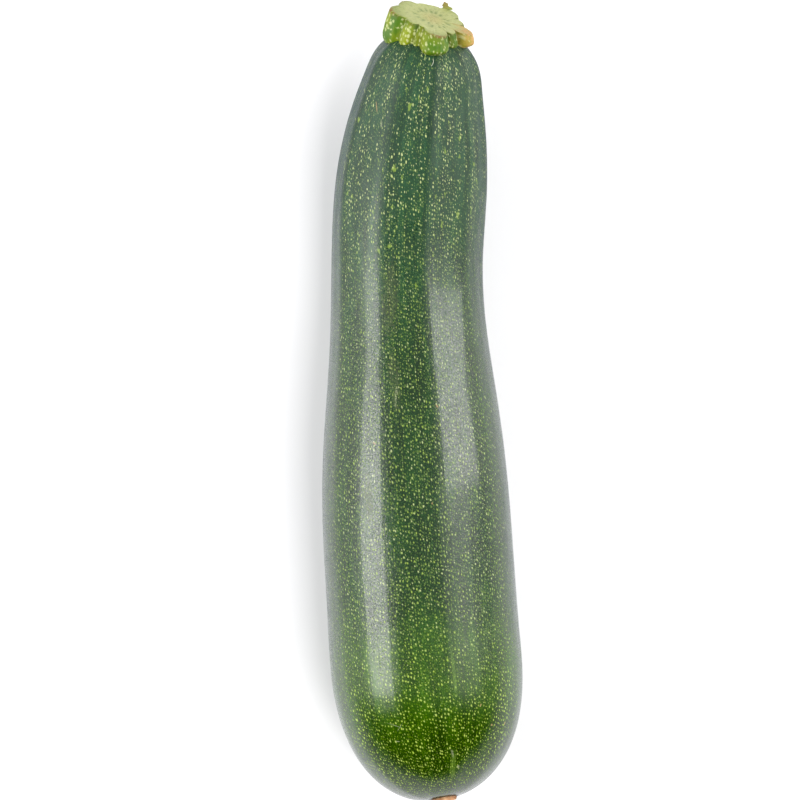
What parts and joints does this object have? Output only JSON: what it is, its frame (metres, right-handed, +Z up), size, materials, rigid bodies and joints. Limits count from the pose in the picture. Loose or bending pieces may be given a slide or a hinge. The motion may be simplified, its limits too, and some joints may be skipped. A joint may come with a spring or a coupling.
{
  "type": "courgette",
  "caption": "Whole green courgette lying on its side, slightly bent, with a swollen blossom end, a short lobed stem cut at a slant and a small corky blossom scar.",
  "frame": {"origin": "on the surface the courgette lies on, under the middle of its bounding box", "axes": "+Z up, +Y along the courgette from the blossom end towards the stem, +X to the right when it is seen from above with the stem away from the viewer"},
  "size_m": [0.05, 0.1998, 0.0468],
  "materials": {
    "skin": "waxy dark green vegetable skin with pale flecks, softly glossy",
    "stem": "fresh yellow-green plant stem, matt, pale where it is cut",
    "scar": "dry tan cork, matt and rough"
  },
  "bodies": {
    "root": {"fruit": "skin", "stem": "stem", "blossom_scar": "scar"}
  },
  "joints": []
}
